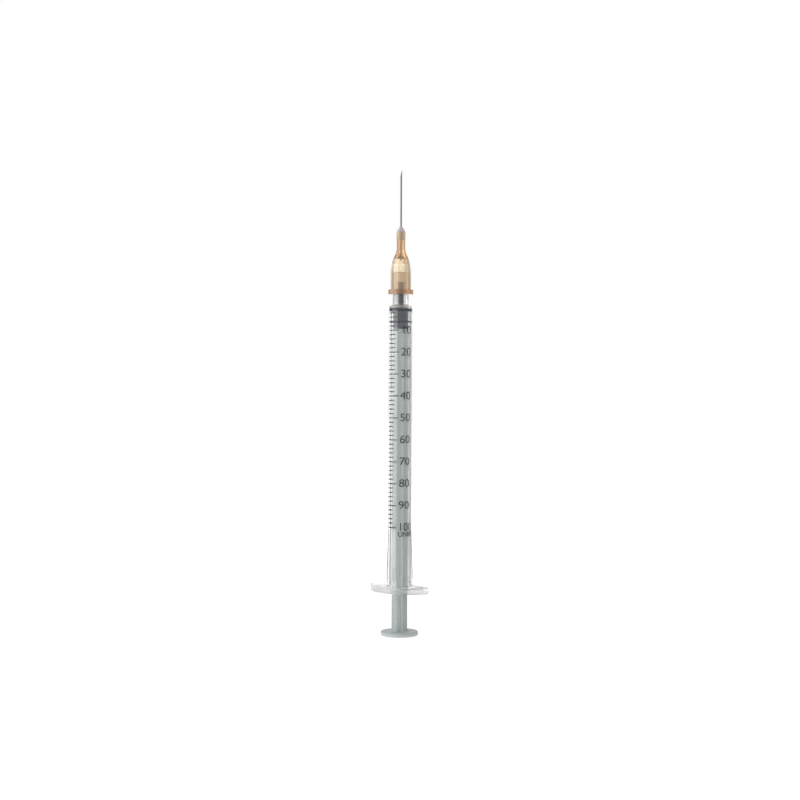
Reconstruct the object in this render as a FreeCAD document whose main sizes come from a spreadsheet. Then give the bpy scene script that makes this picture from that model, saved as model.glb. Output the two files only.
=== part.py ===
import FreeCAD, Part
import math
import os
import Sketcher

# Slip-tip syringe of 1 mL with a 100-unit scale and a needle pushed on its nozzle.
# Millimetres. The axis is Z, the thumb rest stands on Z = 0 and the needle points up.
# The finger flange is long in X. The plunger is pressed home.

SIZES = [
    # thumb rest and plunger rod
    ("thumb_rest_diameter", 9.8, "disc that the thumb presses"),
    ("thumb_rest_thickness", 1.1, "height of that disc"),
    ("thumb_rest_round", 0.3, "rounding of its two rims"),
    ("thumb_dish_diameter", 7.6, "shallow dish in the pressed face"),
    ("thumb_dish_depth", 0.15, "depth of the dish"),
    ("press_gap", 10.17, "from the thumb rest up to the flange when pressed home"),
    ("rod_width", 4.12, "across two opposite ribs"),
    ("rib_thickness", 1.7, "thickness of a rib"),
    ("rib_root_round", 0.25, "rounding where two ribs meet"),
    ("rod_foot_round", 0.4, "rounding from the ribs to the thumb rest"),
    ("rod_disc_diameter", 4.3, "disc that pushes the stopper"),
    ("rod_disc_thickness", 0.8, "thickness of that disc"),
    ("knob_stem_diameter", 1.6, "stem of the knob in the stopper"),
    ("knob_stem_length", 0.7, "length of the stem"),
    ("knob_diameter", 2.5, "widest part of the knob"),
    ("knob_height", 1.5, "height of the knob above its stem"),
    ("knob_tip_diameter", 1.0, "top of the knob"),
    ("rod_turn", -10.0, "degrees that the rod stands turned in the barrel"),
    # finger flange
    ("flange_length", 17.8, "long axis of the finger flange"),
    ("flange_width", 11.1, "short axis of the finger flange"),
    ("flange_end_radius", 2.2, "radius of the wing ends"),
    ("flange_thickness", 1.3, "thickness of the plate"),
    ("flange_round", 0.3, "rounding of the plate's rims"),
    ("lip_length", 2.6, "raised lip across a wing's end"),
    ("lip_width", 1.0, "width of the lip along the wing"),
    ("lip_height", 0.45, "height of the lip above the plate"),
    ("lip_round", 0.15, "rounding of the lip"),
    # barrel tube and nozzle
    ("bore_diameter", 4.72, "1 mL over a scale of 57.1 mm"),
    ("barrel_wall", 0.67, "wall of the tube"),
    ("tube_length", 74.75, "from the flange's underside to the shoulder"),
    ("sleeve_height", 3.7, "widest stretch of the tube, above the flange"),
    ("flare_length", 11.2, "cone from that stretch to the plain tube"),
    ("flare_rise", 0.42, "how much the radius widens there"),
    ("flare_fillet", 0.4, "rounding from the flared tube to the flange"),
    ("shoulder_edge_round", 0.15, "rounding of the shoulder's rim"),
    ("shoulder_fillet", 0.6, "hollow rounding from the shoulder to the nozzle"),
    ("front_wall", 0.55, "from the end of the bore to the shoulder"),
    ("front_cone_height", 0.75, "height of the cone that closes the bore"),
    ("nozzle_length", 8.85, "from the shoulder to the nozzle's tip"),
    ("nozzle_tip_diameter", 3.92, "outside of the nozzle's tip"),
    ("nozzle_tip_chamfer", 0.15, "chamfer of the nozzle's tip"),
    ("luer_taper", 0.06, "change of diameter along the cone"),
    ("nozzle_bore_diameter", 1.9, "hole through the nozzle"),
    ("mouth_chamfer", 0.4, "lead-in at the open end of the bore"),
    ("ring_height", 3.2, "retaining ring above the flange's underside"),
    ("ring_width", 1.3, "length of the ring along the bore"),
    ("ring_rise", 0.09, "how far the ring stands into the bore"),
    # stopper
    ("ridge_clearance", 0.03, "running fit of the sealing ridges in the bore"),
    ("nose_clearance", 0.075, "running fit of the nose in the nozzle"),
    ("front_clearance", 0.04, "gap between the stopper and the closed end"),
    ("stopper_length", 5.45, "from the front ridge to the rear face"),
    ("core_diameter", 4.0, "stopper between its ridges"),
    ("front_ridge_width", 1.0, "front sealing ridge"),
    ("middle_ridge_start", 3.2, "front ridge's top to the middle ridge's top"),
    ("middle_ridge_width", 0.72, "middle sealing ridge"),
    ("rear_ridge_start", 4.55, "front ridge's top to the rear ridge's top"),
    ("rear_ridge_width", 0.42, "rear ridge"),
    ("rear_ridge_drop", 0.04, "how much lower the rear ridge is"),
    ("ridge_round", 0.2, "rounding of the ridges"),
    ("nose_length", 6.9, "from the front ridge to the tip of the nose"),
    ("nose_round", 0.3, "rounding of the nose's tip"),
    ("knob_fit", 0.02, "room round the knob in its cavity"),
    # needle hub
    ("hub_brim_diameter", 6.56, "brim at the foot of the hub"),
    ("hub_brim_height", 1.2, "height of the brim"),
    ("hub_lug_span", 7.7, "across the two lugs"),
    ("hub_lug_width", 3.4, "width of a lug"),
    ("hub_body_diameter", 5.16, "hub above the brim"),
    ("hub_body_height", 4.9, "straight part above the brim"),
    ("hub_ogive_radius", 9.3, "curve that closes the body"),
    ("hub_ogive_end", 3.24, "diameter where that curve ends"),
    ("hub_neck_diameter", 2.28, "neck above the ogive"),
    ("hub_neck_radius", 4.5, "hollow curve into the neck"),
    ("hub_collar_diameter", 2.4, "collar round the glue well"),
    ("hub_collar_height", 2.4, "height of the collar"),
    ("hub_collar_slope", 1.0, "cone from the neck to the collar"),
    ("hub_collar_round", 0.12, "rounding of the collar's rim"),
    ("hub_length", 16.42, "from the brim's underside to the collar's rim"),
    ("hub_wall_rise", 2.13, "socket beyond the nozzle's tip"),
    ("hub_rib_rise", 0.08, "grip ribs stand this far out"),
    ("hub_rib_width", 0.5, "width of a grip rib"),
    ("hub_rib_height", 6.2, "length of a grip rib"),
    ("hub_rib_root", 0.24, "how deep a grip rib's outline reaches into the body"),
    ("hub_rib_slope", 0.64, "sloped stretch at a grip rib's top"),
    ("hub_rib_count", 4, "number of grip ribs"),
    ("hub_turn", 36.0, "degrees that the hub stands turned on the nozzle"),
    ("hub_grip", 5.79, "nozzle's tip above the brim's underside"),
    ("luer_clearance", 0.02, "room between the socket and the nozzle"),
    ("socket_mouth_chamfer", 0.15, "lead-in at the mouth of the socket"),
    ("chamber_diameter", 3.0, "small chamber above the socket"),
    ("chamber_height", 1.2, "straight part of that chamber"),
    ("chamber_cone_height", 0.9, "cone that closes the chamber"),
    ("well_diameter", 1.6, "glue well in the neck"),
    ("well_depth", 2.2, "depth of the glue well"),
    # needle and glue
    ("needle_diameter", 0.5, "outside of the steel tube"),
    ("needle_bore", 0.26, "inside of the steel tube"),
    ("needle_reach", 16.3, "point above the collar's rim"),
    ("needle_butt", 0.5, "lower end inside the chamber, below its cone"),
    ("needle_fit", 0.02, "room round the needle in the hub"),
    ("bevel_length", 1.8, "length of the ground slope"),
    ("facet_length", 0.8, "length of the two side facets"),
    ("facet_tip", 0.03, "half width left at the point"),
    ("bevel_turn", 216.0, "degrees that the slope faces, from +X"),
    ("glue_height", 1.4, "glue above the collar's rim"),
    ("glue_bulge", 3.5, "radius of the glue's rounded flank"),
]

# Derived heights and radii, each from the sizes and from the ones above it.
PLACES = [
    ("flange_bottom", "sizes.thumb_rest_thickness + sizes.press_gap"),
    ("flange_top", "flange_bottom + sizes.flange_thickness"),
    ("flange_a", "sizes.flange_length / 2"),
    ("flange_b", "sizes.flange_width / 2"),
    ("flange_end_x", "flange_a - sizes.flange_end_radius"),
    (
        "flange_side_radius",
        "(flange_end_x ^ 2 + flange_b ^ 2 - sizes.flange_end_radius ^ 2)"
        " / (2 * (flange_b - sizes.flange_end_radius))",
    ),
    (
        "flange_join_x",
        "flange_end_x * (1 + sizes.flange_end_radius / (flange_side_radius - sizes.flange_end_radius))",
    ),
    (
        "flange_join_y",
        "sizes.flange_end_radius * (flange_side_radius - flange_b)"
        " / (flange_side_radius - sizes.flange_end_radius)",
    ),
    ("lip_inner_x", "flange_a - sizes.lip_width"),
    ("lip_outer_x", "flange_end_x + sqrt(sizes.flange_end_radius ^ 2 - (sizes.lip_length / 2) ^ 2)"),
    ("bore_radius", "sizes.bore_diameter / 2"),
    ("tube_radius", "bore_radius + sizes.barrel_wall"),
    ("flare_radius", "tube_radius + sizes.flare_rise"),
    ("flare_bottom", "flange_top + sizes.sleeve_height"),
    ("shoulder", "flange_bottom + sizes.tube_length"),
    ("bore_end", "shoulder - sizes.front_wall"),
    ("nozzle_tip", "shoulder + sizes.nozzle_length"),
    ("nozzle_tip_radius", "sizes.nozzle_tip_diameter / 2"),
    ("nozzle_bore_radius", "sizes.nozzle_bore_diameter / 2"),
    (
        "nozzle_root_radius",
        "nozzle_tip_radius + sizes.luer_taper / 2 * (sizes.nozzle_length - sizes.shoulder_fillet)",
    ),
    ("ring_middle", "flange_bottom + sizes.ring_height"),
    ("ring_curve", "((sizes.ring_width / 2) ^ 2 + sizes.ring_rise ^ 2) / (2 * sizes.ring_rise)"),
    ("stopper_front", "bore_end - sizes.front_clearance"),
    ("stopper_rear", "stopper_front - sizes.stopper_length"),
    ("ridge_radius", "bore_radius - sizes.ridge_clearance"),
    ("rear_ridge_radius", "ridge_radius - sizes.rear_ridge_drop"),
    ("core_radius", "sizes.core_diameter / 2"),
    ("nose_radius", "nozzle_bore_radius - sizes.nose_clearance"),
    ("knob_base", "stopper_rear + sizes.knob_stem_length"),
    ("knob_top", "knob_base + sizes.knob_height"),
    ("hub_foot", "nozzle_tip - sizes.hub_grip"),
    ("hub_brim_top", "hub_foot + sizes.hub_brim_height"),
    ("hub_body_radius", "sizes.hub_body_diameter / 2"),
    ("hub_body_top", "hub_brim_top + sizes.hub_body_height"),
    (
        "hub_ogive_rise",
        "sqrt(sizes.hub_ogive_radius ^ 2"
        " - (sizes.hub_ogive_radius - hub_body_radius + sizes.hub_ogive_end / 2) ^ 2)",
    ),
    ("hub_ogive_top", "hub_body_top + hub_ogive_rise"),
    ("hub_neck_radial", "sizes.hub_neck_diameter / 2"),
    (
        "hub_neck_rise",
        "sqrt(sizes.hub_neck_radius ^ 2"
        " - (sizes.hub_neck_radius - (sizes.hub_ogive_end / 2 - hub_neck_radial)) ^ 2)",
    ),
    ("hub_neck_start", "hub_ogive_top + hub_neck_rise"),
    ("hub_top", "hub_foot + sizes.hub_length"),
    ("hub_collar_bottom", "hub_top - sizes.hub_collar_height"),
    ("socket_top", "nozzle_tip + sizes.hub_wall_rise"),
    (
        "socket_mouth_radius",
        "nozzle_tip_radius + sizes.luer_clearance + sizes.luer_taper / 2 * sizes.hub_grip",
    ),
    (
        "socket_top_radius",
        "nozzle_tip_radius + sizes.luer_clearance - sizes.luer_taper / 2 * sizes.hub_wall_rise",
    ),
    ("chamber_radius", "sizes.chamber_diameter / 2"),
    ("chamber_shoulder", "socket_top + sizes.chamber_height"),
    ("chamber_top", "chamber_shoulder + sizes.chamber_cone_height"),
    ("needle_radius", "sizes.needle_diameter / 2"),
    ("channel_radius", "needle_radius + sizes.needle_fit"),
    ("needle_start", "chamber_shoulder - sizes.needle_butt"),
    ("needle_point", "hub_top + sizes.needle_reach"),
    ("well_radius", "sizes.well_diameter / 2"),
    ("well_bottom", "hub_top - sizes.well_depth"),
    ("glue_foot_radius", "sizes.hub_collar_diameter / 2 - sizes.hub_collar_round"),
    ("glue_top", "hub_top + sizes.glue_height"),
]

CLOSE = 1e-4  # lengths nearer than this count as the same
KEPT_SHARE = 0.9  # a bore or socket leaves less than this share of its solid

doc = FreeCAD.newDocument("syringe")


def make_sheet():
    sheet = doc.addObject("Spreadsheet::Sheet", "sizes")
    for row, (alias, value, note) in enumerate(SIZES, start=1):
        sheet.set(f"A{row}", alias)
        sheet.set(f"B{row}", str(value))
        sheet.setAlias(f"B{row}", alias)
        sheet.set(f"C{row}", note)
    doc.recompute()
    return sheet


def make_places():
    holder = doc.addObject("App::VarSet", "places")
    for name, formula in PLACES:
        holder.addProperty("App::PropertyFloat", name, "Derived")
        holder.setExpression(name, formula)
    doc.recompute()
    return holder


sizes = make_sheet()
places = make_places()


def worth(formula):
    """Present value of a formula on the sheet and the derived places."""
    return float(places.evalExpression(formula))


def new_body(name):
    body = doc.addObject("PartDesign::Body", name)
    body.Label = name
    return body


def origin_plane(body, role):
    return next(plane for plane in body.Origin.OriginFeatures if plane.Role == role)


def new_sketch(body, name, role, lift=None):
    sketch = body.newObject("Sketcher::SketchObject", name)
    sketch.AttachmentSupport = [(origin_plane(body, role), "")]
    sketch.MapMode = "FlatFace"
    if lift:
        sketch.setExpression("AttachmentOffset.Base.z", lift)
    return sketch


def hold_point(sketch, edge, end, across, up):
    """Ties one end of an edge to the two formulas of its place."""
    for kind, axis, formula in (("DistanceX", -2, across), ("DistanceY", -1, up)):
        if formula == "0":
            sketch.addConstraint(Sketcher.Constraint("PointOnObject", edge, end, axis))
            continue
        number = sketch.addConstraint(Sketcher.Constraint(kind, -1, 1, edge, end, worth(formula)))
        sketch.setExpression(f"Constraints[{number}]", formula)


def arc_between(start, stop, radius, left):
    """Arc of less than half a turn whose hollow side is on the left of the way, or on the right."""
    chord = stop - start
    side = FreeCAD.Vector(-chord.y, chord.x, 0).normalize() * (1 if left else -1)
    centre = (start + stop) / 2 + side * math.sqrt(radius**2 - (chord.Length / 2) ** 2)
    first, last = (start, stop) if left else (stop, start)
    circle = Part.Circle(centre, FreeCAD.Vector(0, 0, 1), radius)
    return Part.ArcOfCircle(circle, circle.parameter(first), circle.parameter(last))


def outline(sketch, corners):
    """Closed outline. A corner is (across, up), or (across, up, side, radius) where an arc leads on."""
    points = [FreeCAD.Vector(worth(c[0]), worth(c[1]), 0) for c in corners]
    ends = []
    for index, corner in enumerate(corners):
        start, stop = points[index], points[(index + 1) % len(points)]
        if len(corner) == 2:
            ends.append((sketch.addGeometry(Part.LineSegment(start, stop), False), 1, 2))
            continue
        left = corner[2] == "left"
        edge = sketch.addGeometry(arc_between(start, stop, worth(corner[3]), left), False)
        ends.append((edge, 1, 2) if left else (edge, 2, 1))
    for index, (edge, _, last) in enumerate(ends):
        following, first, _ = ends[(index + 1) % len(ends)]
        sketch.addConstraint(Sketcher.Constraint("Coincident", edge, last, following, first))
    for (edge, first, _), corner in zip(ends, corners):
        hold_point(sketch, edge, first, corner[0], corner[1])
        if len(corner) == 4:
            number = sketch.addConstraint(Sketcher.Constraint("Radius", edge, worth(corner[3])))
            sketch.setExpression(f"Constraints[{number}]", corner[3])


def turned(body, name, corners, kind="PartDesign::Revolution"):
    """Solid or groove that an outline in the XZ plane sweeps round the axis."""
    sketch = new_sketch(body, f"{name}_outline", "XZ_Plane")
    outline(sketch, corners)
    solid = body.newObject(kind, name)
    solid.Profile = sketch
    solid.ReferenceAxis = (sketch, ["V_Axis"])
    solid.Angle = 360
    doc.recompute()
    return solid


def raised(body, name, corners, lift, height):
    """Pad of an outline that lies flat at one height."""
    sketch = new_sketch(body, f"{name}_outline", "XY_Plane", lift)
    outline(sketch, corners)
    pad = body.newObject("PartDesign::Pad", name)
    pad.Profile = sketch
    pad.setExpression("Length", height)
    doc.recompute()
    return pad


def rounded(body, name, feature, chosen, radius):
    """Fillet of the feature's edges for which chosen is true."""
    names = [f"Edge{i}" for i, edge in enumerate(feature.Shape.Edges, start=1) if chosen(edge)]
    fillet = body.newObject("PartDesign::Fillet", name)
    fillet.Base = (feature, names)
    fillet.setExpression("Radius", radius)
    doc.recompute()
    return fillet


def same(one, other):
    return abs(one - other) < CLOSE


def flat_at(edge, height):
    box = edge.BoundBox
    return same(box.ZMin, height) and same(box.ZMax, height)


def furthest(edge):
    """Largest distance of an edge's two ends and middle from the axis."""
    first, last = edge.ParameterRange
    spots = (edge.valueAt(p) for p in (first, (first + last) / 2, last))
    return max(math.hypot(spot.x, spot.y) for spot in spots)


def make_barrel():
    body = new_body("barrel")
    turned(
        body,
        "tube",
        [
            ("0", "places.flange_bottom"),
            ("places.flare_radius", "places.flange_bottom"),
            ("places.flare_radius", "places.flare_bottom"),
            ("places.tube_radius", "places.flare_bottom + sizes.flare_length"),
            (
                "places.tube_radius",
                "places.shoulder - sizes.shoulder_edge_round",
                "left",
                "sizes.shoulder_edge_round",
            ),
            ("places.tube_radius - sizes.shoulder_edge_round", "places.shoulder"),
            (
                "places.nozzle_root_radius + sizes.shoulder_fillet",
                "places.shoulder",
                "right",
                "sizes.shoulder_fillet",
            ),
            ("places.nozzle_root_radius", "places.shoulder + sizes.shoulder_fillet"),
            ("places.nozzle_tip_radius", "places.nozzle_tip - sizes.nozzle_tip_chamfer"),
            ("places.nozzle_tip_radius - sizes.nozzle_tip_chamfer", "places.nozzle_tip"),
            ("0", "places.nozzle_tip"),
        ],
    )
    plate = raised(
        body,
        "finger_flange",
        [
            ("places.flange_join_x", "-places.flange_join_y", "left", "sizes.flange_end_radius"),
            ("places.flange_join_x", "places.flange_join_y", "left", "places.flange_side_radius"),
            ("-places.flange_join_x", "places.flange_join_y", "left", "sizes.flange_end_radius"),
            ("-places.flange_join_x", "-places.flange_join_y", "left", "places.flange_side_radius"),
        ],
        "places.flange_bottom",
        "sizes.flange_thickness",
    )
    plate = rounded(
        body,
        "flange_underside",
        plate,
        lambda edge: flat_at(edge, places.flange_bottom) and furthest(edge) > places.flange_end_x,
        "sizes.flange_round",
    )
    raised(
        body,
        "end_lip",
        [
            ("places.lip_inner_x", "-sizes.lip_length / 2"),
            (
                "places.lip_outer_x",
                "-sizes.lip_length / 2",
                "left",
                "sizes.flange_end_radius",
            ),
            ("places.lip_outer_x", "sizes.lip_length / 2"),
            ("places.lip_inner_x", "sizes.lip_length / 2"),
        ],
        "places.flange_top",
        "sizes.lip_height",
    )
    lips = body.newObject("PartDesign::Mirrored", "both_lips")
    lips.Originals = [doc.getObject("end_lip")]
    lips.MirrorPlane = (origin_plane(body, "YZ_Plane"), [""])
    body.Tip = lips
    doc.recompute()
    lip_top = places.flange_top + sizes.lip_height
    crowned = rounded(
        body, "lip_rims", lips, lambda edge: flat_at(edge, lip_top), "sizes.lip_round"
    )
    flared = rounded(
        body,
        "flange_root",
        crowned,
        lambda edge: flat_at(edge, places.flange_top) and same(furthest(edge), places.flare_radius),
        "sizes.flare_fillet",
    )
    bored = turned(
        body,
        "bore",
        [
            ("0", "places.flange_bottom"),
            ("places.bore_radius + sizes.mouth_chamfer", "places.flange_bottom"),
            ("places.bore_radius", "places.flange_bottom + sizes.mouth_chamfer"),
            (
                "places.bore_radius",
                "places.ring_middle - sizes.ring_width / 2",
                "right",
                "places.ring_curve",
            ),
            ("places.bore_radius", "places.ring_middle + sizes.ring_width / 2"),
            ("places.bore_radius", "places.bore_end"),
            ("places.nozzle_bore_radius", "places.bore_end + sizes.front_cone_height"),
            ("places.nozzle_bore_radius", "places.nozzle_tip"),
            ("0", "places.nozzle_tip"),
        ],
        "PartDesign::Groove",
    )
    if bored.Shape.Volume > flared.Shape.Volume * KEPT_SHARE:
        raise RuntimeError("the bore cuts nothing")
    return body


def make_plunger_rod():
    body = new_body("plunger_rod")
    turned(
        body,
        "thumb_rest",
        [
            ("0", "sizes.thumb_dish_depth"),
            ("sizes.thumb_dish_diameter / 2 - sizes.thumb_dish_depth", "sizes.thumb_dish_depth"),
            ("sizes.thumb_dish_diameter / 2", "0"),
            (
                "sizes.thumb_rest_diameter / 2 - sizes.thumb_rest_round",
                "0",
                "left",
                "sizes.thumb_rest_round",
            ),
            ("sizes.thumb_rest_diameter / 2", "sizes.thumb_rest_round"),
            (
                "sizes.thumb_rest_diameter / 2",
                "sizes.thumb_rest_thickness - sizes.thumb_rest_round",
                "left",
                "sizes.thumb_rest_round",
            ),
            (
                "sizes.thumb_rest_diameter / 2 - sizes.thumb_rest_round",
                "sizes.thumb_rest_thickness",
            ),
            ("0", "sizes.thumb_rest_thickness"),
        ],
    )
    tip, root = "sizes.rod_width / 2", "sizes.rib_thickness / 2"
    quarter = [(tip, root), (root, root), (root, tip)]
    corners = list(quarter)
    corners += [(f"-{across}", up) for across, up in reversed(quarter)]
    corners += [(f"-{across}", f"-{up}") for across, up in quarter]
    corners += [(across, f"-{up}") for across, up in reversed(quarter)]
    ribs = raised(
        body,
        "ribs",
        corners,
        "sizes.thumb_rest_thickness",
        "places.stopper_rear - sizes.rod_disc_thickness - sizes.thumb_rest_thickness",
    )
    meeting = sizes.rib_thickness / 2 * math.sqrt(2)
    ribs = rounded(
        body,
        "rib_roots",
        ribs,
        lambda edge: edge.BoundBox.ZLength > sizes.rod_width and same(furthest(edge), meeting),
        "sizes.rib_root_round",
    )
    rounded(
        body,
        "rod_foot",
        ribs,
        lambda edge: flat_at(edge, sizes.thumb_rest_thickness) and furthest(edge) < sizes.rod_width,
        "sizes.rod_foot_round",
    )
    disc_bottom = "places.stopper_rear - sizes.rod_disc_thickness"
    turned(
        body,
        "head",
        [
            ("0", disc_bottom),
            ("sizes.rod_disc_diameter / 2", disc_bottom),
            ("sizes.rod_disc_diameter / 2", "places.stopper_rear"),
            ("sizes.knob_stem_diameter / 2", "places.stopper_rear"),
            ("sizes.knob_stem_diameter / 2", "places.knob_base"),
            ("sizes.knob_diameter / 2", "places.knob_base"),
            ("sizes.knob_tip_diameter / 2", "places.knob_top"),
            ("0", "places.knob_top"),
        ],
    )
    body.setExpression("Placement.Rotation.Angle", "sizes.rod_turn")
    return body


def ridge(top, width, radius):
    """Corners of one sealing ridge with two rounded rims, from its top down."""
    reach = f"{radius} - sizes.ridge_round"
    return [
        ("places.core_radius", top),
        (reach, top, "right", "sizes.ridge_round"),
        (radius, f"{top} - sizes.ridge_round"),
        (radius, f"{top} - {width} + sizes.ridge_round", "right", "sizes.ridge_round"),
        (reach, f"{top} - {width}"),
        ("places.core_radius", f"{top} - {width}"),
    ]


def make_stopper():
    body = new_body("stopper")
    nose_tip = "places.stopper_front + sizes.nose_length"
    corners = [
        ("0", nose_tip),
        ("places.nose_radius - sizes.nose_round", nose_tip, "right", "sizes.nose_round"),
        ("places.nose_radius", f"{nose_tip} - sizes.nose_round"),
        ("places.nose_radius", "places.stopper_front + sizes.front_cone_height"),
    ]
    corners += ridge("places.stopper_front", "sizes.front_ridge_width", "places.ridge_radius")
    corners += ridge(
        "places.stopper_front - sizes.middle_ridge_start",
        "sizes.middle_ridge_width",
        "places.ridge_radius",
    )
    corners += ridge(
        "places.stopper_front - sizes.rear_ridge_start",
        "sizes.rear_ridge_width",
        "places.rear_ridge_radius",
    )
    corners += [
        ("places.core_radius", "places.stopper_rear"),
        ("sizes.knob_stem_diameter / 2 + sizes.knob_fit", "places.stopper_rear"),
        (
            "sizes.knob_stem_diameter / 2 + sizes.knob_fit",
            "places.knob_base - sizes.knob_fit",
        ),
        ("sizes.knob_diameter / 2 + sizes.knob_fit", "places.knob_base - sizes.knob_fit"),
        ("sizes.knob_tip_diameter / 2 + sizes.knob_fit", "places.knob_top + sizes.knob_fit"),
        ("0", "places.knob_top + sizes.knob_fit"),
    ]
    turned(body, "rubber", corners)
    return body


def make_needle_hub():
    body = new_body("needle_hub")
    ogive_end = "sizes.hub_ogive_end / 2"
    collar = "sizes.hub_collar_diameter / 2"
    turned(
        body,
        "shell",
        [
            ("0", "places.hub_foot"),
            ("sizes.hub_brim_diameter / 2", "places.hub_foot"),
            ("sizes.hub_brim_diameter / 2", "places.hub_brim_top"),
            ("places.hub_body_radius", "places.hub_brim_top"),
            ("places.hub_body_radius", "places.hub_body_top", "left", "sizes.hub_ogive_radius"),
            (ogive_end, "places.hub_ogive_top", "right", "sizes.hub_neck_radius"),
            ("places.hub_neck_radial", "places.hub_neck_start"),
            ("places.hub_neck_radial", "places.hub_collar_bottom"),
            (collar, "places.hub_collar_bottom + sizes.hub_collar_slope"),
            (
                collar,
                "places.hub_top - sizes.hub_collar_round",
                "left",
                "sizes.hub_collar_round",
            ),
            (f"{collar} - sizes.hub_collar_round", "places.hub_top"),
            ("0", "places.hub_top"),
        ],
    )
    lug_side = "sizes.hub_lug_width / 2"
    lug_end = "sqrt((sizes.hub_lug_span / 2) ^ 2 - (sizes.hub_lug_width / 2) ^ 2)"
    raised(
        body,
        "lugs",
        [
            (f"-{lug_side}", f"-{lug_end}", "left", "sizes.hub_lug_span / 2"),
            (lug_side, f"-{lug_end}"),
            (lug_side, lug_end, "left", "sizes.hub_lug_span / 2"),
            (f"-{lug_side}", lug_end),
        ],
        "places.hub_foot",
        "sizes.hub_brim_height",
    )
    sketch = new_sketch(body, "grip_rib_outline", "XZ_Plane")
    rib_out = "places.hub_body_radius + sizes.hub_rib_rise"
    rib_in = "places.hub_body_radius - sizes.hub_rib_root"
    outline(
        sketch,
        [
            (rib_in, "places.hub_brim_top"),
            (rib_out, "places.hub_brim_top"),
            (rib_out, "places.hub_brim_top + sizes.hub_rib_height - sizes.hub_rib_slope"),
            (rib_in, "places.hub_brim_top + sizes.hub_rib_height"),
        ],
    )
    grip_rib = body.newObject("PartDesign::Pad", "grip_rib")
    grip_rib.Profile = sketch
    grip_rib.Midplane = True
    grip_rib.setExpression("Length", "sizes.hub_rib_width")
    doc.recompute()
    ribs = body.newObject("PartDesign::PolarPattern", "grip_ribs")
    ribs.Originals = [grip_rib]
    ribs.Axis = (sketch, ["V_Axis"])
    ribs.Angle = 360
    ribs.setExpression("Occurrences", "sizes.hub_rib_count")
    body.Tip = ribs
    doc.recompute()
    hollowed = turned(
        body,
        "socket",
        [
            ("0", "places.hub_foot"),
            ("places.socket_mouth_radius + sizes.socket_mouth_chamfer", "places.hub_foot"),
            ("places.socket_mouth_radius", "places.hub_foot + sizes.socket_mouth_chamfer"),
            ("places.socket_top_radius", "places.socket_top"),
            ("places.chamber_radius", "places.socket_top"),
            ("places.chamber_radius", "places.chamber_shoulder"),
            ("places.channel_radius", "places.chamber_top"),
            ("places.channel_radius", "places.well_bottom"),
            ("places.well_radius", "places.well_bottom"),
            ("places.well_radius", "places.hub_top"),
            ("0", "places.hub_top"),
        ],
        "PartDesign::Groove",
    )
    if hollowed.Shape.Volume > ribs.Shape.Volume * KEPT_SHARE:
        raise RuntimeError("the socket cuts nothing")
    body.setExpression("Placement.Rotation.Angle", "sizes.hub_turn")
    return body


def cut_through(body, name, role, corners):
    """Cut straight through both ways, with an outline on one of the body's own planes."""
    sketch = new_sketch(body, f"{name}_outline", role)
    outline(sketch, corners)
    pocket = body.newObject("PartDesign::Pocket", name)
    pocket.Profile = sketch
    pocket.Type = "ThroughAll"
    pocket.Midplane = True
    doc.recompute()
    return pocket


def make_needle():
    body = new_body("needle")
    tube = turned(
        body,
        "steel_tube",
        [
            ("sizes.needle_bore / 2", "places.needle_start"),
            ("places.needle_radius", "places.needle_start"),
            ("places.needle_radius", "places.needle_point"),
            ("sizes.needle_bore / 2", "places.needle_point"),
        ],
    )
    slope = cut_through(
        body,
        "slope",
        "XZ_Plane",
        [
            ("-places.needle_radius", "places.needle_point"),
            ("places.needle_radius", "places.needle_point - sizes.bevel_length"),
            ("places.needle_radius", "places.needle_point"),
        ],
    )
    for side in ("", "-"):
        ground = cut_through(
            body,
            "facet" if side else "other_facet",
            "YZ_Plane",
            [
                (f"{side}sizes.facet_tip", "places.needle_point"),
                (f"{side}places.needle_radius", "places.needle_point - sizes.facet_length"),
                (f"{side}places.needle_radius", "places.needle_point"),
            ],
        )
    if not ground.Shape.Volume < slope.Shape.Volume < tube.Shape.Volume:
        raise RuntimeError("the point isn't ground")
    body.setExpression("Placement.Rotation.Angle", "sizes.bevel_turn")
    return body


def make_needle_glue():
    body = new_body("needle_glue")
    turned(
        body,
        "resin",
        [
            ("places.needle_radius", "places.well_bottom"),
            ("places.well_radius", "places.well_bottom"),
            ("places.well_radius", "places.hub_top"),
            ("places.glue_foot_radius", "places.hub_top", "left", "sizes.glue_bulge"),
            ("places.needle_radius", "places.glue_top"),
        ],
    )
    return body


def check(bodies):
    doc.recompute()
    for item in doc.Objects:
        if "Invalid" in item.State or "Error" in item.State:
            raise RuntimeError(f"{item.Label} failed: {item.State}")
    for body in bodies:
        if body.Shape.isNull() or not body.Shape.isValid() or len(body.Shape.Solids) != 1:
            raise RuntimeError(f"{body.Label} isn't one sound solid")


def main():
    bodies = [
        make_barrel(),
        make_plunger_rod(),
        make_stopper(),
        make_needle_hub(),
        make_needle(),
        make_needle_glue(),
    ]
    check(bodies)
    os.makedirs("parts", exist_ok=True)
    for body in bodies:
        body.Shape.exportStep(f"parts/{body.Label}.step")
        box = body.Shape.BoundBox
        print(f"{body.Label}: {body.Shape.Volume:.3f} mm3, z {box.ZMin:.2f} to {box.ZMax:.2f}")
    ring_top = places.ring_middle + sizes.ring_width / 2
    rear_ridge = places.stopper_front - sizes.rear_ridge_start - sizes.rear_ridge_width
    print(f"plunger travel {rear_ridge - ring_top:.2f} mm")


main()
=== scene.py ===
import math

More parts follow.
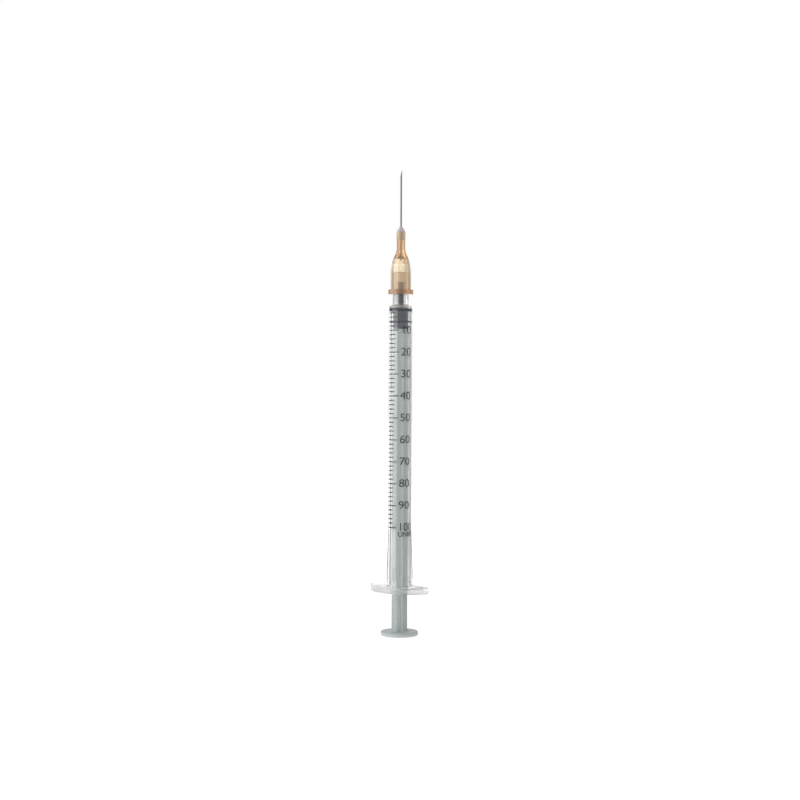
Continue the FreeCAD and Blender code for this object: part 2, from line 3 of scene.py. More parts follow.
import bmesh
import bpy
from bpy.props import FloatProperty, FloatVectorProperty, IntProperty, PointerProperty, StringProperty
from bpy.types import Operator, Panel, PropertyGroup
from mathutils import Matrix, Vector


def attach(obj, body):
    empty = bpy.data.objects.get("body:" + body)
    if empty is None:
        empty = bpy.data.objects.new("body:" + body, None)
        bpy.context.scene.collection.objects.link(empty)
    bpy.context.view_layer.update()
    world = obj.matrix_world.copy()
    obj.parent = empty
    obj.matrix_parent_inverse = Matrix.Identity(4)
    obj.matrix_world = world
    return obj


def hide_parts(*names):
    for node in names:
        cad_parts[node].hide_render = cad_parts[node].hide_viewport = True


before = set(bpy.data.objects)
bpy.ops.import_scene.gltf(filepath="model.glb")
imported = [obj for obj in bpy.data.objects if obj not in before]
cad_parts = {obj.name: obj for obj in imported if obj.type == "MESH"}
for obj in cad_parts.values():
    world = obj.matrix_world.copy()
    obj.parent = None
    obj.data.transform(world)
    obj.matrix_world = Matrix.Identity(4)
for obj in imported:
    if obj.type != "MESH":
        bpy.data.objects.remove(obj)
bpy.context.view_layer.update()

bl_info = {
    "name": "Slip-tip syringe",
    "version": (1, 0, 0),
    "blender": (4, 5, 0),
    "location": "3D View > Sidebar > Syringe",
    "description": "Clear barrel with a printed scale, plunger, rubber stopper, amber hub and needle",
    "category": "Object",
}

MM = 0.001
FULL_TURN = 2 * math.pi
SHARP_EDGE = math.radians(32)
SOFT_EDGE = 0.3 * MM
PLASTIC_IOR = 1.49

# Each dark board's side of the view (1 is left), near edge in degrees from the view's far side, and grey
DARK_BOARDS = ((1, 40, 0.2), (-1, 6, 0.44))
BOARDS_FAR_EDGE = 64


def length(name, description, value):
    return FloatProperty(name=name, description=description, default=value * MM, unit="LENGTH", precision=5)


def degrees(name, description, value):
    return FloatProperty(name=name, description=description, default=math.radians(value), subtype="ANGLE")


def share(name, description, value):
    return FloatProperty(name=name, description=description, default=value, min=0, max=1, subtype="FACTOR")


def tint(name, description, value):
    limits = {"size": 3, "min": 0, "max": 1}
    return FloatVectorProperty(name=name, description=description, default=value, subtype="COLOR", **limits)


def number(name, description, value):
    return FloatProperty(name=name, description=description, default=value)


def count(name, description, value, least=1):
    return IntProperty(name=name, description=description, default=value, min=least)


# Settings


class BarrelSettings(PropertyGroup):
    foot: length("Flange underside", "Height of the finger flange's underside", 11.27)
    flange_thickness: length("Flange thickness", "Thickness of the finger flange", 1.3)
    flange_end: length("Wing end centre", "Centre of a wing's round end, from the axis", 6.7)
    flange_end_radius: length("Wing end radius", "Radius of a wing's round end", 2.2)
    flange_half_width: length("Flange half width", "Half of the flange's short way", 5.55)
    flange_round: length("Flange rounding", "Rounding of the flange's lower rim", 0.3)
    lip_length: length("Lip length", "Raised lip across a wing's end", 2.6)
    lip_inner: length("Lip inner side", "Distance of the lip's inner side from the axis", 7.9)
    lip_height: length("Lip height", "Height of the lip above the flange", 0.45)
    lip_round: length("Lip rounding", "Rounding of the lip", 0.15)
    flare_radius: length("Flare radius", "Outside of the tube above the flange", 3.45)
    flare_fillet: length("Flare fillet", "Rounding from the flared tube to the flange", 0.4)
    sleeve_height: length("Sleeve height", "Widest stretch of the tube above the flange", 3.7)
    flare_length: length("Flare length", "Cone from that stretch to the plain tube", 11.2)
    flare_blend: length("Flare blend", "Soft run from the cone into the straight stretches", 8.0)
    tube_radius: length("Tube radius", "Outside of the plain tube", 3.03)
    bore_radius: length("Bore radius", "Inside of the tube", 2.36)
    shoulder: length("Shoulder", "Height of the shoulder", 86.02)
    shoulder_round: length("Shoulder rounding", "Rounding of the shoulder's rim", 0.15)
    nozzle_root_radius: length("Nozzle root", "Outside of the nozzle at the shoulder", 2.2075)
    nozzle_fillet: length("Nozzle fillet", "Hollow rounding at the nozzle's root", 0.6)
    nozzle_tip: length("Nozzle tip", "Height of the nozzle's tip", 94.87)
    nozzle_tip_radius: length("Nozzle tip radius", "Outside of the nozzle's tip", 1.96)
    nozzle_bore: length("Nozzle bore", "Radius of the hole through the nozzle", 0.95)
    nozzle_chamfer: length("Nozzle chamfer", "Chamfer of the nozzle's tip", 0.15)
    bore_end: length("Bore end", "Height where the bore starts to close", 85.47)
    front_cone: length("Front cone", "Height of the cone that closes the bore", 0.75)
    mouth_chamfer: length("Mouth chamfer", "Lead-in at the open end", 0.4)
    ring_middle: length("Retaining ring", "Height of the retaining ring in the bore", 14.47)
    ring_width: length("Ring width", "Length of the retaining ring along the bore", 1.3)
    ring_rise: length("Ring rise", "How far the retaining ring stands into the bore", 0.09)
    segments: count("Segments", "Steps round the axis", 240, 48)
    colour: tint("Plastic", "Colour of the clear plastic", (0.94, 0.945, 0.94))
    frost_colour: tint("Frosted plastic", "Colour of the frosted flange", (0.8, 0.81, 0.805))
    frost_depth: share("Frosting", "How far the flange's upright faces are frosted", 0.4)
    frost_clear: share("Frosted clearness", "How much light the frosted flange lets through", 0.9)
    # Painted shade: share of the frosted colour that the near wing and far lip keep.
    wing_shade: share("Wing shade", "How much of the frosted colour the near wing and far lip keep", 0.45)


class ScaleSettings(PropertyGroup):
    zero: length("Zero mark", "Height of the mark for nothing", 85.36)
    unit: length("Unit", "Height of one unit on the scale", 0.571)
    units: count("Units", "Units on the scale", 100)
    step: count("Mark step", "Units from one mark to the next", 2)
    long_step: count("Number step", "Units from one long mark to the next", 10)
    skew_height: length("Print height", "Height at which the angles below are given", 54.0)
    skew: degrees("Print skew", "Turn of the print about the barrel for each millimetre of height", 0.23)
    start: degrees("Marks' start", "Left end of the marks", -76.0)
    short_end: degrees("Short marks' end", "Right end of the short marks", -34.3)
    long_end: degrees("Long marks' end", "Right end of the long marks", -13.7)
    numbers_start: degrees("Numbers' start", "Left edge of the numbers and the word", -3.0)
    letter_width: number("Letter width", "Letters' width, against the font's own", 1.06)
    last_width: number("Last number's width", "Width of the last, longest number", 0.96)
    line: length("Line", "Width of a mark's line", 0.25)
    number_height: length("Number height", "Height of the numbers", 2.05)
    number_rise: length("Number rise", "How far the first number's middle stands above its mark", 0.08)
    number_climb: length("Number climb", "How much higher the last number stands than the first", 0.17)
    word: StringProperty(name="Word", description="Word under the last number", default="UNITS")
    word_height: length("Word height", "Height of the word", 1.25)
    word_width: number("Word width", "The word's width, against the font's own", 1.1)
    word_bold: number("Word weight", "How far the word's strokes are thickened", 0.014)
    word_middle: length("Word middle", "Height of the word's middle", 26.55)
    film: length("Ink film", "Thickness of the ink above the plastic", 0.012)
    colour: tint("Ink", "Colour of the ink", (0.012, 0.014, 0.018))


class StopperSettings(PropertyGroup):
    rear: length("Rear face", "Height of the rear face", 79.98)
    front: length("Front", "Height of the front ridge's top", 85.43)
    core: length("Core radius", "Radius between the ridges", 2.0)
    ridge: length("Ridge radius", "Radius of the sealing ridges where the bore squeezes them", 2.364)
    rear_ridge: length("Rear ridge radius", "Radius of the lower rear ridge", 2.32)
    ridge_round: length("Ridge rounding", "Rounding of the ridges", 0.2)
    nose: length("Nose radius", "Radius of the nose in the nozzle", 0.875)
    nose_tip: length("Nose tip", "Height of the nose's tip", 92.33)
    nose_round: length("Nose rounding", "Rounding of the nose's tip", 0.3)
    cone_top: length("Cone top", "Height where the front cone meets the nose", 86.18)
    front_width: length("Front ridge width", "Width of the front ridge", 1.0)
    middle_drop: length("Middle ridge drop", "Middle ridge's top below the front ridge's", 3.2)
    middle_width: length("Middle ridge width", "Width of the middle ridge", 0.72)
    rear_drop: length("Rear ridge drop", "Rear ridge's top below the front ridge's", 4.55)
    rear_width: length("Rear ridge width", "Width of the rear ridge", 0.42)
    stem: length("Cavity mouth", "Radius of the hole for the knob's stem", 0.82)
    knob: length("Cavity radius", "Radius of the cavity for the knob", 1.27)
    knob_tip: length("Cavity end", "Radius of the cavity's far end", 0.52)
    knob_start: length("Cavity start", "Depth at which the cavity widens", 0.68)
    knob_depth: length("Cavity depth", "Depth of the cavity", 2.22)
    colour: tint("Rubber", "Colour of the rubber", (0.002, 0.01, 0.024))


class PlungerSettings(PropertyGroup):
    # Heights and reaches of the rod's painted light and painted shade, then the rod's own colour.
    rib_reach: length("Rib reach", "Distance of the ribs' edges from the axis", 2.06)
    rib_foot: length("Rib foot", "Height at which the ribs' lighter colour starts", 1.1)
    light_side: length("Light side", "How far across the ribs' light faces lie", 1.4)
    rest_top: length("Rest top", "Height up to which the thumb rest's colour holds", 1.35)
    rest_shade: length("Rest shade", "Height over which the thumb rest turns darker", 1.2)
    colour: tint("Rod plastic", "Colour of the plunger rod", (0.322, 0.348, 0.348))


class HubSettings(PropertyGroup):
    foot: length("Foot", "Height of the brim's underside", 89.08)
    brim: length("Brim radius", "Radius of the brim", 3.28)
    brim_height: length("Brim height", "Height of the brim", 1.2)
    lug_reach: length("Lug reach", "Radius of the lugs' ends", 3.85)
    lug_width: length("Lug width", "Width of a lug", 3.4)
    body: length("Body radius", "Radius above the brim", 2.58)
    body_height: length("Body height", "Straight part above the brim", 4.9)
    ogive: length("Ogive radius", "Curve that closes the body", 9.3)
    ogive_end: length("Ogive end", "Radius where that curve ends", 1.62)
    neck: length("Neck radius", "Radius of the neck", 1.14)
    neck_curve: length("Neck curve", "Hollow curve into the neck", 4.5)
    collar: length("Collar radius", "Radius of the collar round the glue well", 1.2)
    collar_height: length("Collar height", "Height of the collar", 2.4)
    collar_slope: length("Collar slope", "Cone from the neck to the collar", 1.0)
    collar_round: length("Collar rounding", "Rounding of the collar's rim", 0.12)
    top: length("Top", "Height of the collar's rim", 105.5)
    rib_rise: length("Rib rise", "How far a grip rib stands out", 0.08)
    rib_width: length("Rib width", "Width of a grip rib", 0.5)
    rib_height: length("Rib height", "Length of a grip rib", 6.2)
    rib_slope: length("Rib slope", "Sloped stretch at a grip rib's top", 0.64)
    rib_root: length("Rib root", "How far a rib's slope runs in", 0.32)
    ribs: count("Ribs", "Number of grip ribs", 4)
    turn: degrees("Turn", "How far the hub stands turned on the nozzle", 36.0)
    mouth: length("Socket mouth", "Radius of the socket's mouth", 2.1537)
    mouth_chamfer: length("Socket lead-in", "Chamfer of the socket's mouth", 0.15)
    socket_top: length("Socket top", "Height of the socket's top", 97.0)
    socket_end: length("Socket end radius", "Radius of the socket's top", 1.916)
    chamber: length("Chamber radius", "Radius of the chamber above the socket", 1.5)
    chamber_top: length("Chamber shoulder", "Height where the chamber starts to close", 98.2)
    chamber_cone: length("Chamber cone", "Height of the cone that closes the chamber", 0.9)
    channel: length("Channel radius", "Radius of the hole for the needle", 0.27)
    well: length("Well radius", "Radius of the glue well", 0.8)
    well_bottom: length("Well bottom", "Height of the glue well's bottom", 103.3)
    window: length("Window", "Height where the plastic looks thin and pale", 94.6)
    segments: count("Segments", "Steps round the axis", 144, 48)
    colour: tint("Amber", "Colour of the see-through amber plastic", (0.9, 0.77, 0.6))
    deep_colour: tint("Thick amber", "Colour of the brim and neck", (0.89, 0.66, 0.43))
    pale_colour: tint("Thin amber", "Colour round the chamber", (0.97, 0.92, 0.81))
    depth_colour: tint("Amber depth", "Colour that thick amber plastic turns to", (0.8, 0.5, 0.1))
    depth: number("Amber density", "How fast thick plastic takes that colour", 250.0)


class NeedleSettings(PropertyGroup):
    butt: length("Lower end", "Height of the needle's lower end", 97.7)
    point: length("Point", "Height of the needle's point", 121.8)
    radius: length("Radius", "Outside radius of the steel tube", 0.25)
    bore: length("Bore", "Inside radius of the steel tube", 0.13)
    bevel: length("Bevel", "Length of the ground slope", 1.8)
    facet: length("Facet", "Length of the two side facets", 0.8)
    facet_tip: length("Facet tip", "Half width left at the point", 0.06)
    turn: degrees("Bevel turn", "Direction that the slope faces", 216.0)
    segments: count("Segments", "Steps round the axis", 64, 16)
    colour: tint("Steel", "Colour of the steel", (0.2, 0.205, 0.215))


class GlueSettings(PropertyGroup):
    bottom: length("Bottom", "Height of the glue's lower end in the well", 103.31)
    rim: length("Rim", "Height of the hub's rim", 105.5)
    top: length("Top", "Height of the glue at the needle", 106.9)
    well: length("Well radius", "Radius of the glue in the well", 0.795)
    foot: length("Foot radius", "Radius of the glue on the rim", 1.08)
    inner: length("Inner radius", "Radius at which the glue holds the steel", 0.246)
    flank: length("Flank radius", "Curve of the flank up to the needle", 3.5)
    colour: tint("Resin", "Colour of the hazy resin", (0.6, 0.54, 0.53))


class StageSettings(PropertyGroup):
    azimuth: degrees("Camera azimuth", "Camera's place round the syringe", 36.0)
    distance: length("Camera distance", "Distance from the axis", 385.0)
    height: length("Camera height", "Height of the camera, which looks level", 61.49)
    aside: length("Camera aside", "How far the camera stands left of the axis", 0.073)
    lens: number("Lens", "Focal length in millimetres", 66.18)
    roll: degrees("Camera roll", "Lean of the camera", -0.24)
    key_azimuth: degrees("Key light's side", "Key light's place, from the camera", -67.0)
    light_distance: length("Light distance", "Distance of both lights from the axis", 360.0)
    key_width: length("Key width", "Width of the key light", 460.0)
    key_height: length("Key height", "Height of the key light", 800.0)
    key_level: number("Key level", "Brightness of the key light's face", 2.1)
    fill_azimuth: degrees("Fill light's side", "Fill light's place, from the camera", 92.0)
    fill_width: length("Fill width", "Width of the fill light", 300.0)
    fill_height: length("Fill height", "Height of the fill light", 500.0)
    fill_level: number("Fill level", "Brightness of the fill light's face", 0.8)
    room_level: number("Room level", "Brightness of the light all round", 0.9)
    floor_colour: tint("Floor", "Colour of the pale floor", (0.8, 0.8, 0.8))
    floor_reach: length("Floor reach", "Half of the floor's width", 3000.0)
    contact: length("Contact shade", "Radius of the grey under the syringe", 20.0)
    contact_fade: length("Contact fade", "Distance over which that grey turns white", 100.0)
    contact_grey: share("Contact grey", "Grey of the floor under the syringe", 0.78)


# Shaders


class Value:
    """A socket in an expression: each operator adds the Math node that it stands for."""

    def __init__(self, finish, socket):
        self.finish = finish
        self.socket = socket

    def _math(self, operation, *values):
        return self.finish.node("ShaderNodeMath", {"operation": operation}, dict(enumerate(values)))

    def __add__(self, other):
        return self._math("ADD", self, other)

    def __sub__(self, other):
        return self._math("SUBTRACT", self, other)

    def __rsub__(self, other):
        return self._math("SUBTRACT", other, self)

    def __mul__(self, other):
        return self._math("MULTIPLY", self, other)

    def __truediv__(self, other):
        return self._math("DIVIDE", self, other)

    def clamped(self):
        return self._math("MINIMUM", self._math("MAXIMUM", self, 0.0), 1.0)

    def either(self, other):
        return self._math("MAXIMUM", self, other)


class Finish:
    """A node tree that is filled one call at a time."""

    def __init__(self, owner):
        self.owner = owner
        owner.use_nodes = True
        self.tree = owner.node_tree
        self.tree.nodes.clear()

    def node(self, kind, settings=None, values=None, output=0):
        made = self.tree.nodes.new(kind)
        for name, value in (settings or {}).items():
            setattr(made, name, value)
        for name, value in (values or {}).items():
            self._feed(made.inputs[name], value)
        return Value(self, made.outputs[output])

    def _feed(self, socket, value):
        if isinstance(value, Value):
            self.tree.links.new(value.socket, socket)
        elif socket.type == "RGBA" and len(value) == 3:
            socket.default_value = (*value, 1.0)
        else:
            socket.default_value = value

    def mixed(self, factor, first, second):
        """Colour between two colours."""
        settings = {"data_type": "RGBA"}
        return self.node("ShaderNodeMix", settings, {0: factor, 6: first, 7: second}, output=2)

    def place(self):
        """Place in the part's own frame."""
        return self.node("ShaderNodeTexCoord", output=3)

    def normal(self):
        """Direction that the surface faces."""
        return self.node("ShaderNodeNewGeometry", output=1)

    def part(self, vector, axis):
        """One part of a vector: 0 is across, 1 along and 2 up."""
        return self.node("ShaderNodeSeparateXYZ", None, {0: vector}, output=axis)

    def skin(self, values):
        """Principled surface."""
        return self.node("ShaderNodeBsdfPrincipled", None, values)

    def grain(self, scale, detail=4.0, stretch=(1.0, 1.0, 1.0)):
        """Noise value in the part's own frame, with `scale` spots to the metre."""
        spread = self.node("ShaderNodeVectorMath", {"operation": "MULTIPLY"}, {0: self.place(), 1: stretch})
        values = {"Vector": spread, "Scale": scale, "Detail": detail, "Roughness": 0.55}
        return self.node("ShaderNodeTexNoise", None, values)

    def height(self):
        """Height above the floor, in the part's own frame."""
        return self.part(self.place(), 2)

    def above(self, level, edge):
        """1 above a level and 0 below it, with a soft edge."""
        return ((self.height() - level) / edge).clamped()

    def below(self, level, edge):
        """1 below a level and 0 above it, with a soft edge."""
        return ((level - self.height()) / edge).clamped()

    def away_from(self, level):
        """Distance up or down from a level."""
        up = self.height() - level
        return up.either(up * -1.0)

    def across(self):
        """Place along the long way of the flange."""
        return self.part(self.place(), 0)

    def reach(self):
        """Distance from the syringe's axis."""
        flat = {0: self.place(), 1: (1.0, 1.0, 0.0)}
        level = self.node("ShaderNodeVectorMath", {"operation": "MULTIPLY"}, flat)
        return self.node("ShaderNodeVectorMath", {"operation": "LENGTH"}, {0: level}, output=1)

    def facing_up(self):
        """1 on level faces, whether they look up or down, and 0 on upright ones."""
        up = self.part(self.normal(), 2)
        return up.either(up * -1.0)

    def bump(self, height, strength, distance):
        values = {"Height": height, "Strength": strength, "Distance": distance}
        return self.node("ShaderNodeBump", None, values)

    def surface(self, shader, volume=None):
        values = {"Surface": shader}
        if volume:
            values["Volume"] = volume
        output = self.tree.nodes.new("ShaderNodeOutputMaterial")
        for name, value in values.items():
            self._feed(output.inputs[name], value)
        return self.owner


def new_finish(name):
    return Finish(bpy.data.materials.new(name))


def shades(colour, *parts):
    """Tones of a colour, each a part of it."""
    return [tuple(c * part for c in colour) for part in parts]


def clear_plastic(size):
    """Clear polypropylene, polished on the tube and frosted on the flange, with painted shade on the near
    wing and far lip.
    """
    finish = new_finish("clear_plastic")
    haze = finish.grain(900.0, stretch=(1.0, 1.0, 0.12))
    frost = finish.grain(4200.0, 2.0)
    nozzle = finish.above(size.shoulder, SOFT_EDGE)
    values = {
        "Base Color": finish.mixed(haze, *shades(size.colour, 0.98, 1.0)),
        "Roughness": haze * 0.03 + nozzle * 0.02 + 0.02,
        "IOR": PLASTIC_IOR,
        "Transmission Weight": 0.982,
    }
    tube = finish.skin(values)
    # Painted shade: the near wing's level faces and the far lip take a darker frosted colour.
    near_wing = ((finish.across() - size.flare_radius) / (0.8 * MM)).clamped()
    far_lip = ((finish.across() * -1.0 - size.lip_inner + size.lip_height) / SOFT_EDGE).clamped()
    painted_wing_shade = near_wing.either(far_lip) * finish.facing_up()
    cloudy, plain, dark = shades(size.frost_colour, 0.96, 1.0, size.wing_shade)
    values = {
        "Base Color": finish.mixed(painted_wing_shade, finish.mixed(frost, cloudy, plain), dark),
        "Roughness": frost * 0.1 + 0.4,
        "IOR": PLASTIC_IOR,
        "Transmission Weight": size.frost_clear,
        "Alpha": finish.facing_up() * 0.4 + size.frost_depth,
        "Normal": finish.bump(frost, 0.1, 0.02 * MM),
    }
    frosted = finish.skin(values)
    flange = finish.below(size.foot + size.flange_thickness + size.lip_height, SOFT_EDGE)
    rim = ((0.6 * MM - finish.away_from(size.shoulder + 0.1 * MM)) / (0.2 * MM)).clamped()
    factor = flange.either(rim * 0.85).either(nozzle * 0.35)
    return finish.surface(finish.node("ShaderNodeMixShader", None, {0: factor, 1: tube, 2: frosted}))


def amber_plastic(size):
    """Amber see-through plastic whose colour deepens with its thickness."""
    finish = new_finish("amber_plastic")
    cloud = finish.grain(700.0, 3.0)
    brim = finish.below(size.foot + size.brim_height + SOFT_EDGE, SOFT_EDGE)
    neck = finish.above(size.chamber_top, 0.8 * MM)
    collar = finish.above(size.top - size.collar_height, 0.8 * MM)
    window = finish.above(size.window, 0.5 * MM) * finish.below(size.chamber_top + SOFT_EDGE, 2 * SOFT_EDGE)
    window = window * (finish.below(size.socket_top, 0.4 * MM) * 0.4 + 0.6)
    clouded = finish.mixed(cloud, *shades(size.colour, 1.0, 0.96))
    body = finish.mixed(window, clouded, size.pale_colour[:])
    deep = size.deep_colour[:]
    necked = finish.mixed(collar, deep, size.colour[:])
    values = {
        "Base Color": finish.mixed(brim, finish.mixed(neck, body, necked), *shades(deep, 0.88)),
        "Roughness": cloud * 0.05 + 0.03,
        "IOR": PLASTIC_IOR,
        "Transmission Weight": 0.88,
        "Normal": finish.bump(cloud, 0.05, 0.03 * MM),
    }
    depth = {"Color": size.depth_colour[:], "Density": size.depth}
    return finish.surface(finish.skin(values), finish.node("ShaderNodeVolumeAbsorption", None, depth))


def rod_plastic(size):
    """Milky grey polypropylene with a satin skin and faint flow clouds, plus painted light on the ribs and
    painted light and shade on the thumb rest.
    """
    finish = new_finish("rod_plastic")
    cloud = finish.grain(260.0, 3.0, stretch=(1.0, 1.0, 0.25))
    satin = finish.grain(6000.0, 2.0)
    # Painted light and shade, not tones of the plastic: the ribs' inner part and their faces that look along
    # +X on the light side are painted lighter, and the thumb rest's rim is painted lighter.
    dim, bright, core_painted_light, flank_painted_light, rim, rest = shades(size.colour, 0.96, 1.04, 1.06, 1.65, 1.6, 0.82)
    core = ((size.rib_reach - finish.reach()) / (0.2 * MM)).clamped() * finish.above(size.rib_foot, MM)
    light_side = ((size.light_side - finish.across()) / SOFT_EDGE).clamped()
    flank = finish.part(finish.normal(), 0).clamped() * light_side
    ribs = finish.mixed(flank, finish.mixed(core, finish.mixed(cloud, dim, bright), core_painted_light), flank_painted_light)
    # Painted shading on the thumb rest: lighter at its foot, darker towards its top.
    thumb_rest_painted_shading = finish.mixed((finish.height() / size.rest_shade).clamped(), rim, rest)
    values = {
        "Base Color": finish.mixed(finish.below(size.rest_top, SOFT_EDGE), ribs, thumb_rest_painted_shading),
        "Roughness": satin * 0.12 + 0.36,
        "IOR": PLASTIC_IOR,
        "Subsurface Weight": 0.3,
        "Subsurface Radius": (1.0, 1.0, 1.0),
        "Subsurface Scale": 0.5 * MM,
        "Normal": finish.bump(satin, 0.1, 0.02 * MM),
    }
    return finish.surface(finish.skin(values))


def stopper_rubber(colour):
    """Slate rubber with a thin film of silicone."""
    finish = new_finish("stopper_rubber")
    speck = finish.grain(5200.0, 3.0)
    cloud = finish.grain(500.0, 2.0)
    values = {
        "Base Color": finish.mixed(cloud, *shades(colour, 0.85, 1.2)),
        "Roughness": speck * 0.15 + 0.38,
        "IOR": 1.15,
        "Normal": finish.bump(speck, 0.15, 0.02 * MM),
    }
    return finish.surface(finish.skin(values))


def needle_steel(colour):
    """Drawn steel with fine lines along the tube."""
    finish = new_finish("needle_steel")
    lines = finish.grain(14000.0, 2.0, stretch=(1.0, 1.0, 0.003))
    values = {
        "Base Color": finish.mixed(lines, *shades(colour, 0.85, 1.1)),
        "Metallic": 1.0,
        "Roughness": lines * 0.14 + 0.2,
        "Normal": finish.bump(lines, 0.2, 0.01 * MM),
    }
    return finish.surface(finish.skin(values))


def clear_resin(colour):
    """Hazy cured resin."""
    finish = new_finish("clear_resin")
    cloud = finish.grain(1800.0, 3.0)
    values = {
        "Base Color": finish.mixed(cloud, *shades(colour, 0.92, 1.0)),
        "Roughness": cloud * 0.2 + 0.25,
        "IOR": 1.5,
        "Transmission Weight": 0.4,
        "Normal": finish.bump(cloud, 0.1, 0.04 * MM),
    }
    return finish.surface(finish.skin(values))


def print_ink(colour):
    """Dull slate ink with thin places."""
    finish = new_finish("print_ink")
    worn = finish.grain(9000.0, 3.0)
    values = {
        "Base Color": finish.mixed(worn, *shades(colour, 0.8, 1.35)),
        "Roughness": worn * 0.2 + 0.42,
        "Normal": finish.bump(worn, 0.1, 0.01 * MM),
    }
    return finish.surface(finish.skin(values))


# Mesh helpers


def swept(middle, first, last, steps):
    """Points round a middle point, from one arm to another of the same length."""
    whole = first.angle(last)
    parts = [step / steps for step in range(steps + 1)]
    arms = [first * math.sin(whole * (1 - part)) + last * math.sin(whole * part) for part in parts]
    return [middle + arm / math.sin(whole) for arm in arms]


def rounded_line(corners, loop, steps=6):
    """Points of a line through (across, up, radius) corners, each rounded by its radius."""
    points = []
    for index, (across, up, radius) in enumerate(corners):
        here = Vector((across, up))
        inner = loop or 0 < index < len(corners) - 1
        if not radius or not inner:
            points.append(here)
            continue
        before = Vector(corners[index - 1][:2]) - here
        after = Vector(corners[(index + 1) % len(corners)][:2]) - here
        if min(before.length, after.length) < 1e-9 or before.angle(after) > math.pi - 1e-3:
            points.extend([here] * (steps + 1))
            continue
        half = before.angle(after) / 2
        reach = min(radius / math.tan(half), before.length * 0.98, after.length * 0.98)
        middle = here + (before.normalized() + after.normalized()).normalized() * reach / math.cos(half)
        first = here + before.normalized() * reach - middle
        last = here + after.normalized() * reach - middle
        points.extend(swept(middle, first, last, steps))
    return points


def arc(start, stop, radius, steps, hollow=False):
    """Points between two (across, up) ends on an arc that bulges outward, or inward if hollow."""
    start, stop = Vector(start), Vector(stop)
    chord = stop - start
    side = Vector((-chord.y, chord.x)).normalized() * (-1 if hollow else 1)
    middle = (start + stop) / 2 + side * math.sqrt(radius**2 - (chord.length / 2) ** 2)
    first, last = start - middle, stop - middle
    return swept(middle, first, last, steps)[1:-1]


def even_angles(count, extra=()):
    """Angles round the axis in order, with a pair of steps close to each extra angle."""
    nudge = math.radians(0.05)
    angles = [FULL_TURN * step / count for step in range(count)]
    for angle in extra:
        pair = [(angle - nudge) % FULL_TURN, (angle + nudge) % FULL_TURN]
        gap = FULL_TURN / count * 0.3
        angles = [a for a in angles if abs((a - angle + math.pi) % FULL_TURN - math.pi) > gap]
        angles += pair
    return sorted(angles)


def turned(name, angles, section, size, loop, turn=0.0):
    """Closed mesh whose half section at each angle comes from section(size, angle)."""
    count = len(angles)
    vertices, rows = [], []
    for angle in angles:
        way = Vector((math.cos(angle + turn), math.sin(angle + turn), 0))
        line = section(size, angle)
        rows.append(range(len(vertices), len(vertices) + len(line)))
        vertices.extend(way * across + Vector((0, 0, up)) for across, up in line)
    faces = []
    for index, row in enumerate(rows):
        following = rows[(index + 1) % count]
        pairs = list(zip(row, row[1:])) + ([(row[-1], row[0])] if loop else [])
        places = {v: k for k, v in enumerate(row)}
        for low, high in pairs:
            faces.append((low, following[places[low]], following[places[high]], high))
    mesh = bpy.data.meshes.new(name)
    mesh.from_pydata(vertices, [], faces)
    return as_piece(name, mesh)


def as_piece(name, mesh):
    """Object with a welded, outward facing mesh, smooth but for its sharp edges."""
    work = bmesh.new()
    work.from_mesh(mesh)
    bmesh.ops.remove_doubles(work, verts=work.verts, dist=2e-7)
    bmesh.ops.dissolve_degenerate(work, edges=work.edges, dist=1e-8)
    bmesh.ops.recalc_face_normals(work, faces=work.faces)
    for face in work.faces:
        face.smooth = True
    work.to_mesh(mesh)
    work.free()
    mesh.set_sharp_from_angle(angle=SHARP_EDGE)
    piece = bpy.data.objects.new(name, mesh)
    bpy.context.scene.collection.objects.link(piece)
    return piece


def dress(piece, body, material):
    piece.data.materials.clear()
    piece.data.materials.append(material)
    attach(piece, body)


# Barrel


def flange_reach(size, angle):
    """Distance from the axis to the flange's outline."""
    across, along = abs(math.sin(angle)), abs(math.cos(angle))
    end, radius, half = size.flange_end, size.flange_end_radius, size.flange_half_width
    side = (end**2 + half**2 - radius**2) / (2 * (half - radius))
    join = math.atan2(radius * (side - half) / (side - radius), end * (1 + radius / (side - radius)))
    if math.atan2(across, along) < join:
        return end * along + math.sqrt(radius**2 - (end * across) ** 2)
    drop = side - half
    return math.sqrt(side**2 - (drop * along) ** 2) - drop * across


def lip_angle(size):
    return math.asin(size.lip_length / 2 / (size.lip_inner + size.lip_height))


def barrel_section(size, angle):
    reach = flange_reach(size, angle)
    plate = size.foot + size.flange_thickness
    on_lip = abs(math.sin(angle)) < math.sin(lip_angle(size))
    top = plate + (size.lip_height if on_lip else 0)
    inner = size.lip_inner / abs(math.cos(angle)) if on_lip else reach - size.lip_height
    flare = plate + size.sleeve_height
    ring = size.ring_width / 2
    corners = [
        (size.bore_radius + size.mouth_chamfer, size.foot, 0),
        (reach, size.foot, size.flange_round),
        (reach, top, size.lip_round),
        (inner, top, size.lip_round),
        (inner, plate, 0),
        (size.flare_radius, plate, size.flare_fillet),
        (size.flare_radius, flare, size.flare_blend),
        (size.tube_radius, flare + size.flare_length, size.flare_blend),
        (size.tube_radius, size.shoulder, size.shoulder_round),
        (size.nozzle_root_radius, size.shoulder, size.nozzle_fillet),
        (size.nozzle_tip_radius, size.nozzle_tip - size.nozzle_chamfer, 0),
        (size.nozzle_tip_radius - size.nozzle_chamfer, size.nozzle_tip, 0),
        (size.nozzle_bore, size.nozzle_tip, 0),
        (size.nozzle_bore, size.bore_end + size.front_cone, 0),
        (size.bore_radius, size.bore_end, 0),
        (size.bore_radius, size.ring_middle + ring, 0),
        (size.bore_radius - size.ring_rise, size.ring_middle + ring / 3, ring / 2),
        (size.bore_radius - size.ring_rise, size.ring_middle - ring / 3, ring / 2),
        (size.bore_radius, size.ring_middle - ring, 0),
        (size.bore_radius, size.foot + size.mouth_chamfer, 0),
    ]
    return rounded_line(corners, loop=True)


